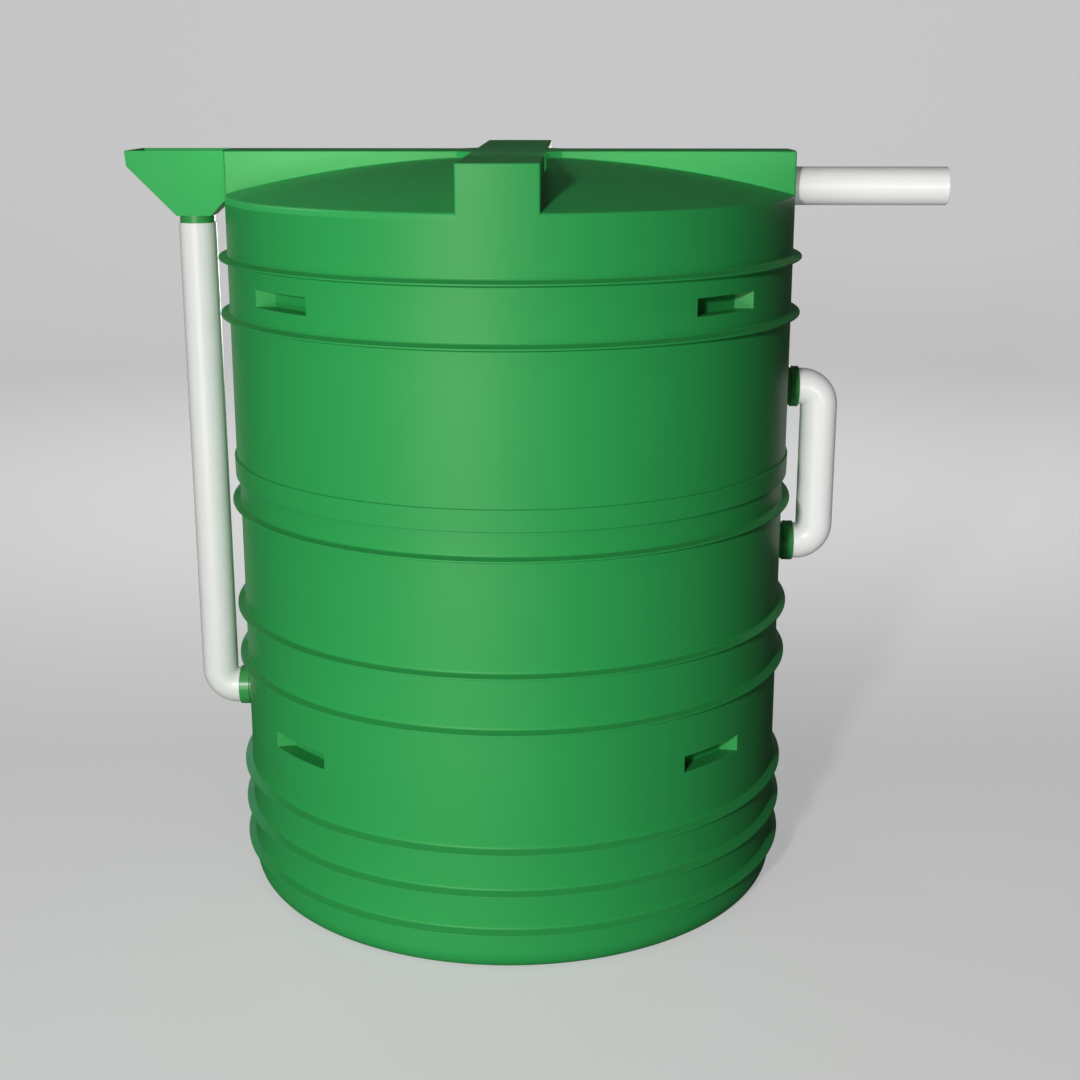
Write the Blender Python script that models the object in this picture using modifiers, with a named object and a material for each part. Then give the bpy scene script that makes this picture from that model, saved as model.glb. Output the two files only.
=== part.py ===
"""Household biogas digester, modelled as an assembly of named pieces.

A closed, two-part moulded plastic tank stands on its flat floor. Ring ribs stiffen its
walls, a cross-shaped ridge stiffens its shallow domed roof, and grip pockets are moulded
into both walls. A hopper feeds an inlet pipe that runs down the left side into the tank,
an outlet pipe leaves the right end of the ridge, and a pipe loop joins the upper and the
lower wall on the right. Units are metres, +Z is up, -Y faces the viewer and the origin is
on the floor, on the tank's axis.
"""

import math

import bmesh
import bpy
from mathutils import Matrix, Vector

# Driving dimensions
PIPE_OD = 0.110
TANK_RADIUS = 7.5 * PIPE_OD
TANK_HEIGHT = 2.200
WALL = 0.010
GAP = 0.0003
ROUND_STEPS = 80
PIPE_STEPS = 32
OVERCUT = 0.050
SHARP_ANGLE = math.radians(30)

# Tank walls
LOWER_RADIUS = TANK_RADIUS - 0.007
SPIGOT_HEIGHT = 0.060
FOOT_WIDTH = 0.043
FOOT_HEIGHT = 0.0585
FOOT_STEPS = 6
FLOOR_THICKNESS = 0.010
RIM_HEIGHT = 2.078
RIM_ROUND = 0.005
RIM_STEPS = 3

# Belt that covers the joint between the two walls
BELT_BOTTOM = 1.2665
BELT_TOP = 1.3275
BELT_TOP_RADIUS = TANK_RADIUS + 0.0058
BELT_BOTTOM_RADIUS = TANK_RADIUS + 0.0045
BELT_CHAMFER = 0.0018

# Domed roof and the cross ridge on it
DOME_CROWN = 2.186
DOME_STEPS = 7
RIDGE_WIDTH = 0.213
RIDGE_GUSSET = 0.045
RIDGE_SEAT = 0.008

# Ring ribs: the height where each upper face meets the wall, and its drop to the rim
UPPER_RIBS = ((1.9152, 0.0074), (1.7540, 0.0074))
LOWER_RIBS = (
    (1.1986, 0.0058),
    (0.8767, 0.0062),
    (0.7182, 0.0074),
    (0.3722, 0.0094),
    (0.2480, 0.0094),
    (0.1304, 0.0096),
)
UPPER_RIB_REACH = 0.0257
LOWER_RIB_REACH = 0.0236
RIB_RIM = 0.0046
RIB_UNDERCUT = 0.0060

# Grip pockets, two in front and two behind, in both walls, narrower at the back
POCKET_AZIMUTH = 46.3
POCKET_AZIMUTHS = (-POCKET_AZIMUTH, POCKET_AZIMUTH, 180 - POCKET_AZIMUTH, 180 + POCKET_AZIMUTH)
POCKET_WIDTH = 0.232
POCKET_BACK_WIDTH = 0.176
POCKET_HEIGHT = 0.0475
POCKET_DEPTH = 0.043
POCKET_WALL = 0.008
UPPER_POCKET_TOP = 1.8495
LOWER_POCKET_TOP = 0.5745

# Pipes and their fittings
PIPE_WALL = 0.0038
PIPE_BORE_RADIUS = PIPE_OD / 2 - PIPE_WALL
BEND_RADIUS = PIPE_OD / 2 + 0.0005
BEND_STEPS = 8
BEND_START = 0.8695
SPIGOT_RADIUS = PIPE_BORE_RADIUS - GAP
PORT_RADIUS = 0.0440
COLLAR_RADIUS = 0.0605
COLLAR_NECK_RADIUS = 0.0560
COLLAR_NECK_LENGTH = 0.0100
COLLAR_END = 0.8600

# Hopper over the inlet pipe
INLET_X = -BEND_START - BEND_RADIUS
HOPPER_LEFT = -1.1044
HOPPER_DEPTH = 0.210
HOPPER_LEFT_SLOPE_TOP = 2.1559
HOPPER_RIGHT_SLOPE = 0.965
HOPPER_SEAT_GAP = 0.0005
THROAT_HEIGHT = 2.0120
THROAT_WIDTH = 0.1010
HOPPER_WALL = 0.007
INLET_PIPE_TOP = 1.9910
SPIGOT_REACH = 0.050
INLET_AXIS_HEIGHT = 0.5437
INLET_LENGTHS = ("lower", "middle", "upper")

# Outlet pipe and side loop
OUTLET_AXIS_HEIGHT = 2.0980
OUTLET_PIPE_END = 1.2690
OUTLET_END_CHAMFER = 0.0022
LOOP_UPPER_HEIGHT = 1.5082
LOOP_LOWER_HEIGHT = 1.0294

# Colours as linear RGBA, and the roughness of each plastic
GREEN = (0.055, 0.370, 0.085, 1.0)
FITTING_GREEN = (0.060, 0.400, 0.095, 1.0)
PIPE_WHITE = (0.830, 0.830, 0.820, 1.0)
MOULDED_ROUGHNESS = 0.42
PIPE_ROUGHNESS = 0.30


def clear_scene():
    """Remove everything that the startup file holds."""
    for obj in list(bpy.data.objects):
        bpy.data.objects.remove(obj, do_unlink=True)


def make_collection(name):
    """Add a collection to the scene."""
    collection = bpy.data.collections.new(name)
    bpy.context.scene.collection.children.link(collection)
    return collection


def make_material(name, colour, roughness):
    """Make a plain plastic material."""
    material = bpy.data.materials.new(name)
    material.use_nodes = True
    material.diffuse_color = colour
    shader = material.node_tree.nodes["Principled BSDF"]
    shader.inputs["Base Color"].default_value = colour
    shader.inputs["Roughness"].default_value = roughness
    shader.inputs["Metallic"].default_value = 0.0
    return material


class Workshop:
    """Keeps the collections that finished pieces and cutters go into."""

    def __init__(self):
        self.pieces = make_collection("biogas_digester")
        self.cutters = make_collection("cutters")

    def piece(self, obj, colour=GREEN, roughness=MOULDED_ROUGHNESS):
        """File an object as a finished piece with a material of its own."""
        obj.data.materials.append(make_material(obj.name + "_plastic", colour, roughness))
        self.pieces.objects.link(obj)
        return obj

    def cutter(self, obj):
        """File an object as a cutter, which stays out of renders."""
        obj.hide_render = True
        obj.display_type = "WIRE"
        self.cutters.objects.link(obj)
        return obj

    def finish(self):
        """Apply the modifiers of every piece, and shade its round faces smooth."""
        graph = bpy.context.evaluated_depsgraph_get()
        for obj in self.pieces.objects:
            mesh = bpy.data.meshes.new_from_object(obj.evaluated_get(graph))
            mesh.shade_smooth()
            mesh.set_sharp_from_angle(angle=SHARP_ANGLE)
            mesh.name = obj.name
            obj.modifiers.clear()
            obj.data = mesh


def place(obj, location=(0, 0, 0), turn=(0, 0, 0)):
    """Set an object's location, and its rotation in degrees about X, Y and Z."""
    obj.location = location
    obj.rotation_euler = [math.radians(angle) for angle in turn]
    return obj


def combine(obj, other, operation="DIFFERENCE"):
    """Add a Boolean modifier to obj."""
    modifier = obj.modifiers.new(other.name, "BOOLEAN")
    modifier.operation = operation
    modifier.solver = "EXACT"
    modifier.object = other
    return obj


def turned(name, profile, steps=ROUND_STEPS, closed=True):
    """Turn a profile of (radius, height) points about Z with a Screw modifier.

    The points run down the outer side, then back up the inner side. A closed profile
    makes a ring, and an open one starts and ends on the axis.
    """
    mesh = bpy.data.meshes.new(name)
    points = [(radius, 0.0, height) for radius, height in profile]
    edges = [(i, i + 1) for i in range(len(points) - 1)]
    if closed:
        edges.append((len(points) - 1, 0))
    mesh.from_pydata(points, edges, [])
    obj = bpy.data.objects.new(name, mesh)
    screw = obj.modifiers.new("turn", "SCREW")
    screw.steps = steps
    screw.render_steps = steps
    screw.use_merge_vertices = True
    screw.merge_threshold = 0.00001
    return obj


def cylinder(name, radius, bottom, top, steps=ROUND_STEPS):
    """A solid cylinder."""
    profile = [(0.0, top), (radius, top), (radius, bottom), (0.0, bottom)]
    return turned(name, profile, steps, closed=False)


def tube_profile(outer_radius, bore_radius, length):
    """Profile of a plain tube that starts at height zero."""
    return [(outer_radius, length), (outer_radius, 0.0), (bore_radius, 0.0), (bore_radius, length)]


def box(name, low, high):
    """Make a box between two corners."""
    low, high = Vector(low), Vector(high)
    size = Matrix.Diagonal((*(high - low), 1.0))
    mesh = bpy.data.meshes.new(name)
    shape = bmesh.new()
    bmesh.ops.create_cube(shape, size=1.0, matrix=Matrix.Translation((low + high) / 2) @ size)
    shape.to_mesh(mesh)
    shape.free()
    return bpy.data.objects.new(name, mesh)


def arc(centre, width, height, start, end, steps):
    """Points of an elliptical arc between two angles in degrees."""
    angles = [math.radians(start + (end - start) * i / steps) for i in range(steps + 1)]
    return [(centre[0] + width * math.cos(a), centre[1] + height * math.sin(a)) for a in angles]


def dome_height(radius):
    """Height of the roof's outer surface at a radius, on a sphere through rim and crown."""
    rise = DOME_CROWN - RIM_HEIGHT
    sphere = (TANK_RADIUS**2 + rise**2) / (2 * rise)
    return DOME_CROWN - sphere + math.sqrt(sphere**2 - radius**2)


def dome_profile(edge_radius, lift=0.0):
    """Points of the roof's outer surface, from the axis to an edge radius."""
    radii = [edge_radius * i / DOME_STEPS for i in range(DOME_STEPS + 1)]
    return [(radius, dome_height(radius) + lift) for radius in radii]


def port(workshop, name, radius, side, height):
    """A cylinder that cuts a pipe's port through one side of a wall."""
    drill = cylinder(name, PORT_RADIUS, -OVERCUT, OVERCUT, PIPE_STEPS)
    return workshop.cutter(place(drill, (side * radius, 0.0, height), (0, 90, 0)))


def wedge(name, radius, wall, top):
    """A grip pocket's block, narrow at its flat back and wider towards +X.

    A wall of zero gives the room inside the pocket, and a thicker one its lining.
    """
    mouth = math.sqrt(radius**2 - (POCKET_WIDTH / 2) ** 2)
    back, front = mouth - POCKET_DEPTH, mouth + OVERCUT
    spread = (POCKET_WIDTH - POCKET_BACK_WIDTH) / 2 / POCKET_DEPTH
    back_half = POCKET_BACK_WIDTH / 2 + wall
    front_half = back_half + spread * (front - back)
    low = (back - wall, -front_half, top - POCKET_HEIGHT - wall)
    block = box(name, low, (front, front_half, top + wall))
    for vert in block.data.vertices:
        if vert.co.x < front:
            vert.co.y *= back_half / front_half
    return block


def make_cavities(workshop, level, radius, top):
    """Cutters for the four grip pockets of one wall."""
    cavities = []
    for number, azimuth in enumerate(POCKET_AZIMUTHS, start=1):
        cavity = wedge(f"pocket_cavity_{level}_{number}", radius, 0.0, top)
        cavities.append(workshop.cutter(place(cavity, turn=(0, 0, azimuth - 90))))
    return cavities


def make_pockets(workshop, level, radius, top, cavities):
    """The linings of the grip pockets, fitted to the inside of one wall."""
    inside_radius = radius - WALL - GAP
    inside = workshop.cutter(
        cylinder(f"{level}_inside", inside_radius, top - POCKET_HEIGHT - OVERCUT, top + OVERCUT)
    )
    for number, (azimuth, cavity) in enumerate(zip(POCKET_AZIMUTHS, cavities), start=1):
        lining = wedge(f"grip_pocket_{level}_{number}", radius, POCKET_WALL, top)
        place(lining, turn=(0, 0, azimuth - 90))
        combine(lining, inside, "INTERSECT")
        combine(lining, cavity)
        workshop.piece(lining)


def make_floor(workshop):
    """The flat disc that the tank stands on."""
    workshop.piece(
        cylinder("tank_floor", LOWER_RADIUS - FOOT_WIDTH - GAP, 0.0, FLOOR_THICKNESS)
    )


def make_lower_wall(workshop, cutters):
    """The lower moulding: a rounded foot, the wall and the spigot inside the upper wall."""
    centre = (LOWER_RADIUS - FOOT_WIDTH, FOOT_HEIGHT)
    outer = arc(centre, FOOT_WIDTH, FOOT_HEIGHT, 0, -90, FOOT_STEPS)
    inner = arc(centre, FOOT_WIDTH - WALL, FOOT_HEIGHT - WALL, -90, 0, FOOT_STEPS)
    spigot_radius = TANK_RADIUS - WALL - GAP
    profile = [
        (spigot_radius, BELT_BOTTOM + SPIGOT_HEIGHT),
        (spigot_radius, BELT_BOTTOM - GAP),
        (LOWER_RADIUS, BELT_BOTTOM - GAP),
        *outer,
        *inner,
        (LOWER_RADIUS - WALL, BELT_BOTTOM + SPIGOT_HEIGHT),
    ]
    wall = turned("lower_wall", profile)
    for cutter in cutters:
        combine(wall, cutter)
    workshop.piece(wall)


def make_upper_wall(workshop, cutters):
    """The upper moulding, with a rounded rim around the roof."""
    inner_radius = TANK_RADIUS - WALL
    centre = (TANK_RADIUS - RIM_ROUND, RIM_HEIGHT - RIM_ROUND)
    profile = [
        (inner_radius, dome_height(inner_radius)),
        *arc(centre, RIM_ROUND, RIM_ROUND, 75, 0, RIM_STEPS),
        (TANK_RADIUS, BELT_BOTTOM),
        (inner_radius, BELT_BOTTOM),
    ]
    wall = turned("upper_wall", profile)
    for cutter in cutters:
        combine(wall, cutter)
    workshop.piece(wall)


def make_belt(workshop):
    """The sleeve around the joint of the two walls, slightly tapered."""
    inner_radius = TANK_RADIUS + GAP
    profile = [
        (inner_radius, BELT_TOP),
        (BELT_TOP_RADIUS - BELT_CHAMFER, BELT_TOP),
        (BELT_TOP_RADIUS, BELT_TOP - BELT_CHAMFER),
        (BELT_BOTTOM_RADIUS, BELT_BOTTOM + BELT_CHAMFER),
        (BELT_BOTTOM_RADIUS - BELT_CHAMFER, BELT_BOTTOM),
        (inner_radius, BELT_BOTTOM),
    ]
    workshop.piece(turned("lap_belt", profile))


def make_roof(workshop, outlet_port):
    """The shallow dome, set inside the top of the upper wall."""
    outer = dome_profile(TANK_RADIUS - WALL - GAP)
    inner = [(radius, height - WALL) for radius, height in reversed(outer)]
    workshop.piece(combine(turned("roof_dome", outer + inner, closed=False), outlet_port))


def cross(workshop, name, width, reach, bottom, top):
    """Two crossing bars in one object, with their inner corners filled at 45 degrees."""
    half = width / 2
    bar = box(name, (-reach, -half, bottom), (reach, half, top))
    other = box(name + "_bar", (-half, -reach, bottom), (half, reach, top))
    combine(bar, workshop.cutter(other), "UNION")
    side = (width + RIDGE_GUSSET) / math.sqrt(2)
    fill = place(box(name + "_fill", (-side, -side, bottom), (side, side, top)), turn=(0, 0, 45))
    return combine(bar, workshop.cutter(fill), "UNION")


def make_ridge_seat(workshop):
    """Cutter for the seats in the upper wall's rim that the ridge's ends drop into."""
    width = RIDGE_WIDTH + 2 * GAP
    reach = TANK_RADIUS + OVERCUT
    bottom = RIM_HEIGHT - RIDGE_SEAT - GAP
    return workshop.cutter(
        cross(workshop, "ridge_seat", width, reach, bottom, TANK_HEIGHT + OVERCUT)
    )


def make_ridge(workshop, outlet_port):
    """The hollow cross ridge on the roof, with its ends flush with the wall."""
    bottom = RIM_HEIGHT - RIDGE_SEAT
    under_bottom = bottom - OVERCUT
    ridge = cross(
        workshop, "cross_ridge", RIDGE_WIDTH, TANK_RADIUS + OVERCUT, bottom, TANK_HEIGHT
    )
    outline = cylinder("ridge_outline", TANK_RADIUS, under_bottom, TANK_HEIGHT + OVERCUT)
    combine(ridge, workshop.cutter(outline), "INTERSECT")
    edge_radius = TANK_RADIUS - WALL
    under = [*dome_profile(edge_radius, GAP), (edge_radius, under_bottom), (0.0, under_bottom)]
    combine(ridge, workshop.cutter(turned("under_ridge", under, closed=False)))
    hollow = cross(
        workshop,
        "ridge_hollow",
        RIDGE_WIDTH - 2 * WALL,
        TANK_RADIUS - 2 * WALL,
        under_bottom,
        TANK_HEIGHT - WALL,
    )
    combine(ridge, workshop.cutter(hollow))
    workshop.piece(combine(ridge, outlet_port))


def make_ribs(workshop):
    """Eight ring ribs with a sloping upper face and a narrow rim."""
    rings = [(TANK_RADIUS, UPPER_RIB_REACH, *rib) for rib in UPPER_RIBS]
    rings += [(LOWER_RADIUS, LOWER_RIB_REACH, *rib) for rib in LOWER_RIBS]
    for number, (radius, reach, top, drop) in enumerate(rings, start=1):
        inner, outer = radius + GAP, radius + reach
        profile = [
            (inner, top),
            (outer, top - drop),
            (outer, top - drop - RIB_RIM),
            (inner, top - drop - RIB_RIM - RIB_UNDERCUT),
        ]
        workshop.piece(turned(f"ring_rib_{number}", profile))


def loft(name, sections):
    """A closed shape through rectangles given as (left, right, half depth, height)."""
    mesh = bpy.data.meshes.new(name)
    shape = bmesh.new()
    rings = []
    for left, right, half, height in sections:
        corners = ((left, -half), (right, -half), (right, half), (left, half))
        rings.append([shape.verts.new((x, y, height)) for x, y in corners])
    for upper, lower in zip(rings, rings[1:]):
        for i in range(4):
            j = (i + 1) % 4
            shape.faces.new((upper[i], lower[i], lower[j], upper[j]))
    shape.faces.new(rings[0])
    shape.faces.new(reversed(rings[-1]))
    bmesh.ops.recalc_face_normals(shape, faces=shape.faces)
    shape.to_mesh(mesh)
    shape.free()
    return bpy.data.objects.new(name, mesh)


def between(low, high, share):
    """The value at a share of the way from low to high."""
    return low + (high - low) * share


def hopper_sections(right_side, inset, overcut):
    """Rectangles of the hopper from top to throat, drawn in by a wall thickness."""
    half_throat = THROAT_WIDTH / 2
    throat_left, throat_right = INLET_X - half_throat, INLET_X + half_throat
    right_slope_top = THROAT_HEIGHT + HOPPER_RIGHT_SLOPE * (right_side - throat_right)

    def section(height, left, right):
        share = (height - THROAT_HEIGHT) / (TANK_HEIGHT - THROAT_HEIGHT)
        half_depth = between(half_throat, HOPPER_DEPTH / 2, share)
        return [left + inset, right - inset, half_depth - inset, height]

    slope_height = HOPPER_LEFT_SLOPE_TOP - THROAT_HEIGHT
    slope_share = (right_slope_top - THROAT_HEIGHT) / slope_height
    left_there = between(throat_left, HOPPER_LEFT, slope_share)
    sections = [
        section(TANK_HEIGHT, HOPPER_LEFT, right_side),
        section(HOPPER_LEFT_SLOPE_TOP, HOPPER_LEFT, right_side),
        section(right_slope_top, left_there, right_side),
        section(THROAT_HEIGHT, throat_left, throat_right),
    ]
    sections[0][-1] += overcut
    sections[-1][-1] -= overcut
    return sections


def make_hopper(workshop):
    """The open hopper, its right side cut to the curve of the wall and the ridge's end."""
    hopper = loft("hopper", hopper_sections(WALL - TANK_RADIUS, 0.0, 0.0))
    sections = hopper_sections(-TANK_RADIUS - HOPPER_SEAT_GAP, HOPPER_WALL, HOPPER_WALL)
    combine(hopper, workshop.cutter(loft("hopper_room", sections)))
    seat_low, seat_high = THROAT_HEIGHT - OVERCUT, TANK_HEIGHT + OVERCUT
    seat = cylinder("hopper_seat", TANK_RADIUS + HOPPER_SEAT_GAP, seat_low, seat_high)
    workshop.piece(combine(hopper, workshop.cutter(seat)))


def make_hopper_neck(workshop):
    """The spigot under the hopper, inside the top of the inlet pipe."""
    bottom = INLET_PIPE_TOP - SPIGOT_REACH
    length = THROAT_HEIGHT - GAP - bottom
    neck = turned("hopper_neck", tube_profile(SPIGOT_RADIUS, PORT_RADIUS, length), PIPE_STEPS)
    workshop.piece(place(neck, (INLET_X, 0.0, bottom)), FITTING_GREEN)


def make_pipe(workshop, name, length, x, bottom):
    """An upright length of white pipe."""
    pipe = turned(name, tube_profile(PIPE_OD / 2, PIPE_BORE_RADIUS, length), PIPE_STEPS)
    workshop.piece(place(pipe, (x, 0.0, bottom)), PIPE_WHITE, PIPE_ROUGHNESS)


def bent_rod(name, radius, overrun, lead):
    """A solid rod bent through a quarter turn about the Y axis, from a disc spun round.

    It starts upright at X = BEND_RADIUS, with an overrun of that many steps of the bend,
    and ends level at Z = -BEND_RADIUS, with a straight lead that runs on towards -X.
    """
    step = math.radians(90 / BEND_STEPS)
    start = Matrix.Rotation(-overrun * step, 4, "Y") @ Matrix.Translation((BEND_RADIUS, 0, 0))
    steps = BEND_STEPS + overrun
    mesh = bpy.data.meshes.new(name)
    shape = bmesh.new()
    bmesh.ops.create_circle(shape, radius=radius, segments=PIPE_STEPS, matrix=start)
    spun = bmesh.ops.spin(
        shape,
        geom=shape.edges[:],
        cent=(0, 0, 0),
        axis=(0, 1, 0),
        angle=steps * step,
        steps=steps,
    )
    last_edges = [item for item in spun["geom_last"] if isinstance(item, bmesh.types.BMEdge)]
    run_on = bmesh.ops.extrude_edge_only(shape, edges=last_edges)
    run_on_verts = [item for item in run_on["geom"] if isinstance(item, bmesh.types.BMVert)]
    bmesh.ops.translate(shape, verts=run_on_verts, vec=(-lead, 0, 0))
    ends = [edge for edge in shape.edges if edge.is_boundary]
    bmesh.ops.holes_fill(shape, edges=ends, sides=PIPE_STEPS)
    bmesh.ops.recalc_face_normals(shape, faces=shape.faces)
    shape.to_mesh(mesh)
    shape.free()
    return bpy.data.objects.new(name, mesh)


def make_elbow(workshop, name, bend_centre, turn):
    """A quarter bend of white pipe with a short lead to its collar, hollow all the way."""
    lead = BEND_START - COLLAR_END
    elbow = place(bent_rod(name, PIPE_OD / 2, 0, lead), bend_centre, turn)
    bore_rod = bent_rod(name + "_bore", PIPE_BORE_RADIUS, 1, lead + OVERCUT)
    bore = place(bore_rod, bend_centre, turn)
    workshop.piece(combine(elbow, workshop.cutter(bore)), PIPE_WHITE, PIPE_ROUGHNESS)


def make_collar(workshop, name, wall_radius, side, height):
    """A green pipe collar: a neck against the wall, and a wider ring up to the pipe.

    It is turned about its own axis, and its root is cut to the wall's curve.
    """
    root = wall_radius - WALL
    ring_start = wall_radius + COLLAR_NECK_LENGTH - root
    length = COLLAR_END - GAP - root
    profile = [
        (COLLAR_RADIUS, length),
        (COLLAR_RADIUS, ring_start),
        (COLLAR_NECK_RADIUS, ring_start),
        (COLLAR_NECK_RADIUS, 0.0),
        (PORT_RADIUS, 0.0),
        (PORT_RADIUS, length),
    ]
    collar = place(turned(name, profile, PIPE_STEPS), (side * root, 0.0, height), (0, side * 90, 0))
    seat_low, seat_high = height - 2 * COLLAR_RADIUS, height + 2 * COLLAR_RADIUS
    seat = cylinder(name + "_seat", wall_radius + GAP, seat_low, seat_high)
    workshop.piece(combine(collar, workshop.cutter(seat)), FITTING_GREEN)


def make_inlet(workshop):
    """The inlet run: lengths of straight pipe, elbow and collar into the lower wall."""
    bend_height = INLET_AXIS_HEIGHT + BEND_RADIUS
    pitch = (INLET_PIPE_TOP - bend_height) / len(INLET_LENGTHS)
    for number, name in enumerate(INLET_LENGTHS):
        bottom = bend_height + GAP + number * pitch
        make_pipe(workshop, "inlet_pipe_" + name, pitch - GAP, INLET_X, bottom)
    make_elbow(workshop, "inlet_elbow", (-BEND_START, 0.0, bend_height), (0, 0, 180))
    make_collar(workshop, "inlet_collar", LOWER_RADIUS, -1, INLET_AXIS_HEIGHT)


def make_outlet(workshop):
    """The outlet: a straight open pipe against the ridge's end, with a spigot inside it."""
    root = (TANK_RADIUS - WALL, 0.0, OUTLET_AXIS_HEIGHT)
    seat_low, seat_high = OUTLET_AXIS_HEIGHT - PIPE_OD, OUTLET_AXIS_HEIGHT + PIPE_OD
    seat = cylinder("outlet_seat", TANK_RADIUS + GAP, seat_low, seat_high)
    workshop.cutter(seat)
    spigot_profile = tube_profile(SPIGOT_RADIUS, PORT_RADIUS, WALL + SPIGOT_REACH)
    neck = place(turned("outlet_neck", spigot_profile, PIPE_STEPS), root, (0, 90, 0))
    workshop.piece(combine(neck, seat), FITTING_GREEN)
    length = OUTLET_PIPE_END - root[0]
    profile = [
        (PIPE_OD / 2 - OUTLET_END_CHAMFER, length),
        (PIPE_OD / 2, length - 2 * OUTLET_END_CHAMFER),
        (PIPE_OD / 2, 0.0),
        (PIPE_BORE_RADIUS, 0.0),
        (PIPE_BORE_RADIUS, length),
    ]
    pipe = place(turned("outlet_pipe", profile, PIPE_STEPS), root, (0, 90, 0))
    workshop.piece(combine(pipe, seat), PIPE_WHITE, PIPE_ROUGHNESS)


def make_loop(workshop):
    """The side loop: two collars, two elbows and the upright pipe between them."""
    low_bend = LOOP_LOWER_HEIGHT + BEND_RADIUS
    high_bend = LOOP_UPPER_HEIGHT - BEND_RADIUS
    make_collar(workshop, "loop_upper_collar", TANK_RADIUS, 1, LOOP_UPPER_HEIGHT)
    make_collar(workshop, "loop_lower_collar", LOWER_RADIUS, 1, LOOP_LOWER_HEIGHT)
    make_elbow(workshop, "loop_upper_elbow", (BEND_START, 0.0, high_bend), (180, 0, 0))
    make_elbow(workshop, "loop_lower_elbow", (BEND_START, 0.0, low_bend), (0, 0, 0))
    pipe_length = high_bend - low_bend - 2 * GAP
    make_pipe(workshop, "loop_pipe", pipe_length, BEND_START + BEND_RADIUS, low_bend + GAP)


def main():
    """Build the digester in an empty scene."""
    clear_scene()
    workshop = Workshop()
    inlet_port = port(workshop, "inlet_port", LOWER_RADIUS, -1, INLET_AXIS_HEIGHT)
    outlet_port = port(workshop, "outlet_port", TANK_RADIUS, 1, OUTLET_AXIS_HEIGHT)
    loop_upper_port = port(workshop, "loop_upper_port", TANK_RADIUS, 1, LOOP_UPPER_HEIGHT)
    loop_lower_port = port(workshop, "loop_lower_port", LOWER_RADIUS, 1, LOOP_LOWER_HEIGHT)
    upper_cavities = make_cavities(workshop, "upper", TANK_RADIUS, UPPER_POCKET_TOP)
    lower_cavities = make_cavities(workshop, "lower", LOWER_RADIUS, LOWER_POCKET_TOP)
    ridge_seat = make_ridge_seat(workshop)
    make_floor(workshop)
    make_lower_wall(workshop, [inlet_port, loop_lower_port, *lower_cavities])
    make_upper_wall(workshop, [ridge_seat, outlet_port, loop_upper_port, *upper_cavities])
    make_belt(workshop)
    make_roof(workshop, outlet_port)
    make_ridge(workshop, outlet_port)
    make_ribs(workshop)
    make_pockets(workshop, "upper", TANK_RADIUS, UPPER_POCKET_TOP, upper_cavities)
    make_pockets(workshop, "lower", LOWER_RADIUS, LOWER_POCKET_TOP, lower_cavities)
    make_hopper(workshop)
    make_hopper_neck(workshop)
    make_inlet(workshop)
    make_outlet(workshop)
    make_loop(workshop)
    workshop.finish()


if __name__ == "__main__":
    main()
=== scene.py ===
"""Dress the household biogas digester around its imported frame.

The tank, its ribs, roof, ridge and grip pockets are remade as finely turned and lofted
meshes with rounded edges, the hopper as a thin-walled funnel, and the pipes as hollow
tubes with rounded ends. Their boxes come from the frame, and smaller sizes are named
fields. Units are metres, +Z is up and -Y faces the viewer.
"""

from __future__ import annotations

import logging
import math
from dataclasses import dataclass
from enum import Enum
from typing import Sequence

import bmesh
import bpy
from mathutils import Matrix, Vector


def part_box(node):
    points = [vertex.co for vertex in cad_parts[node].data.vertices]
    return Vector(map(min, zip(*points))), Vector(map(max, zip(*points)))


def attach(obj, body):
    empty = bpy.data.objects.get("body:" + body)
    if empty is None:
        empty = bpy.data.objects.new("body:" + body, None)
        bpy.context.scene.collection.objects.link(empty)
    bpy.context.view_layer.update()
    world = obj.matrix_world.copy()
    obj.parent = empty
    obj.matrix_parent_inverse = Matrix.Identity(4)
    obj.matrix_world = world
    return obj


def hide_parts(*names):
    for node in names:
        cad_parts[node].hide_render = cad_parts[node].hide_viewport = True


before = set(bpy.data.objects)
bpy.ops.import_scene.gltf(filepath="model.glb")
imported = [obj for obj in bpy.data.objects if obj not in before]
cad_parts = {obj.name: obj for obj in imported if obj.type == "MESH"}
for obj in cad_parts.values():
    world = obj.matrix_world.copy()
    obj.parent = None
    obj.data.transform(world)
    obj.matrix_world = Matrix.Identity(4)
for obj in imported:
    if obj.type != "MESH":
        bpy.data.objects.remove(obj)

LOG = logging.getLogger("biogas_digester")
MILLIMETRE = 0.001
SHARP_ANGLE = math.radians(38)
LOWER_STEP = 0.007

Point2 = tuple[float, float]
Colour = tuple[float, float, float]
Inputs = dict[str | int, object]

WHITE: Colour = (1.0, 1.0, 1.0)
WARM_WHITE: Colour = (1.0, 1.0, 0.98)
CARD_CREAM: Colour = (1.0, 1.0, 0.97)
EDGE_BLUE: Colour = (0.60, 0.95, 1.0)


class Slot(Enum):
    """Material slots of the record."""

    TANK = "green_tank"
    FITTING = "green_fitting"
    PIPE = "white_pipe"


class Side(Enum):
    """Side of the tank, as the sign of X."""

    LEFT = -1
    RIGHT = 1


class Ends(Enum):
    """How the two ends of a skin are closed."""

    JOINED = "the last ring joins the first"
    CAPPED = "a face closes each end"
    OPEN_MOUTH = "a face closes the last ring alone"


@dataclass(frozen=True)
class Span:
    """The box that one or more nodes of the frame fill."""

    low: Vector
    high: Vector

    @classmethod
    def of(cls, *nodes: str) -> Span:
        """Measure the box that nodes of the frame fill together."""
        lows, highs = zip(*(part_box(node) for node in nodes))
        low = Vector([min(values) for values in zip(*lows)])
        high = Vector([max(values) for values in zip(*highs)])
        return cls(low, high)

    @property
    def centre(self) -> Vector:
        """The middle of the box."""
        return (self.low + self.high) / 2

    @property
    def size(self) -> Vector:
        """The box's extents along X, Y and Z."""
        return self.high - self.low


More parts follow.
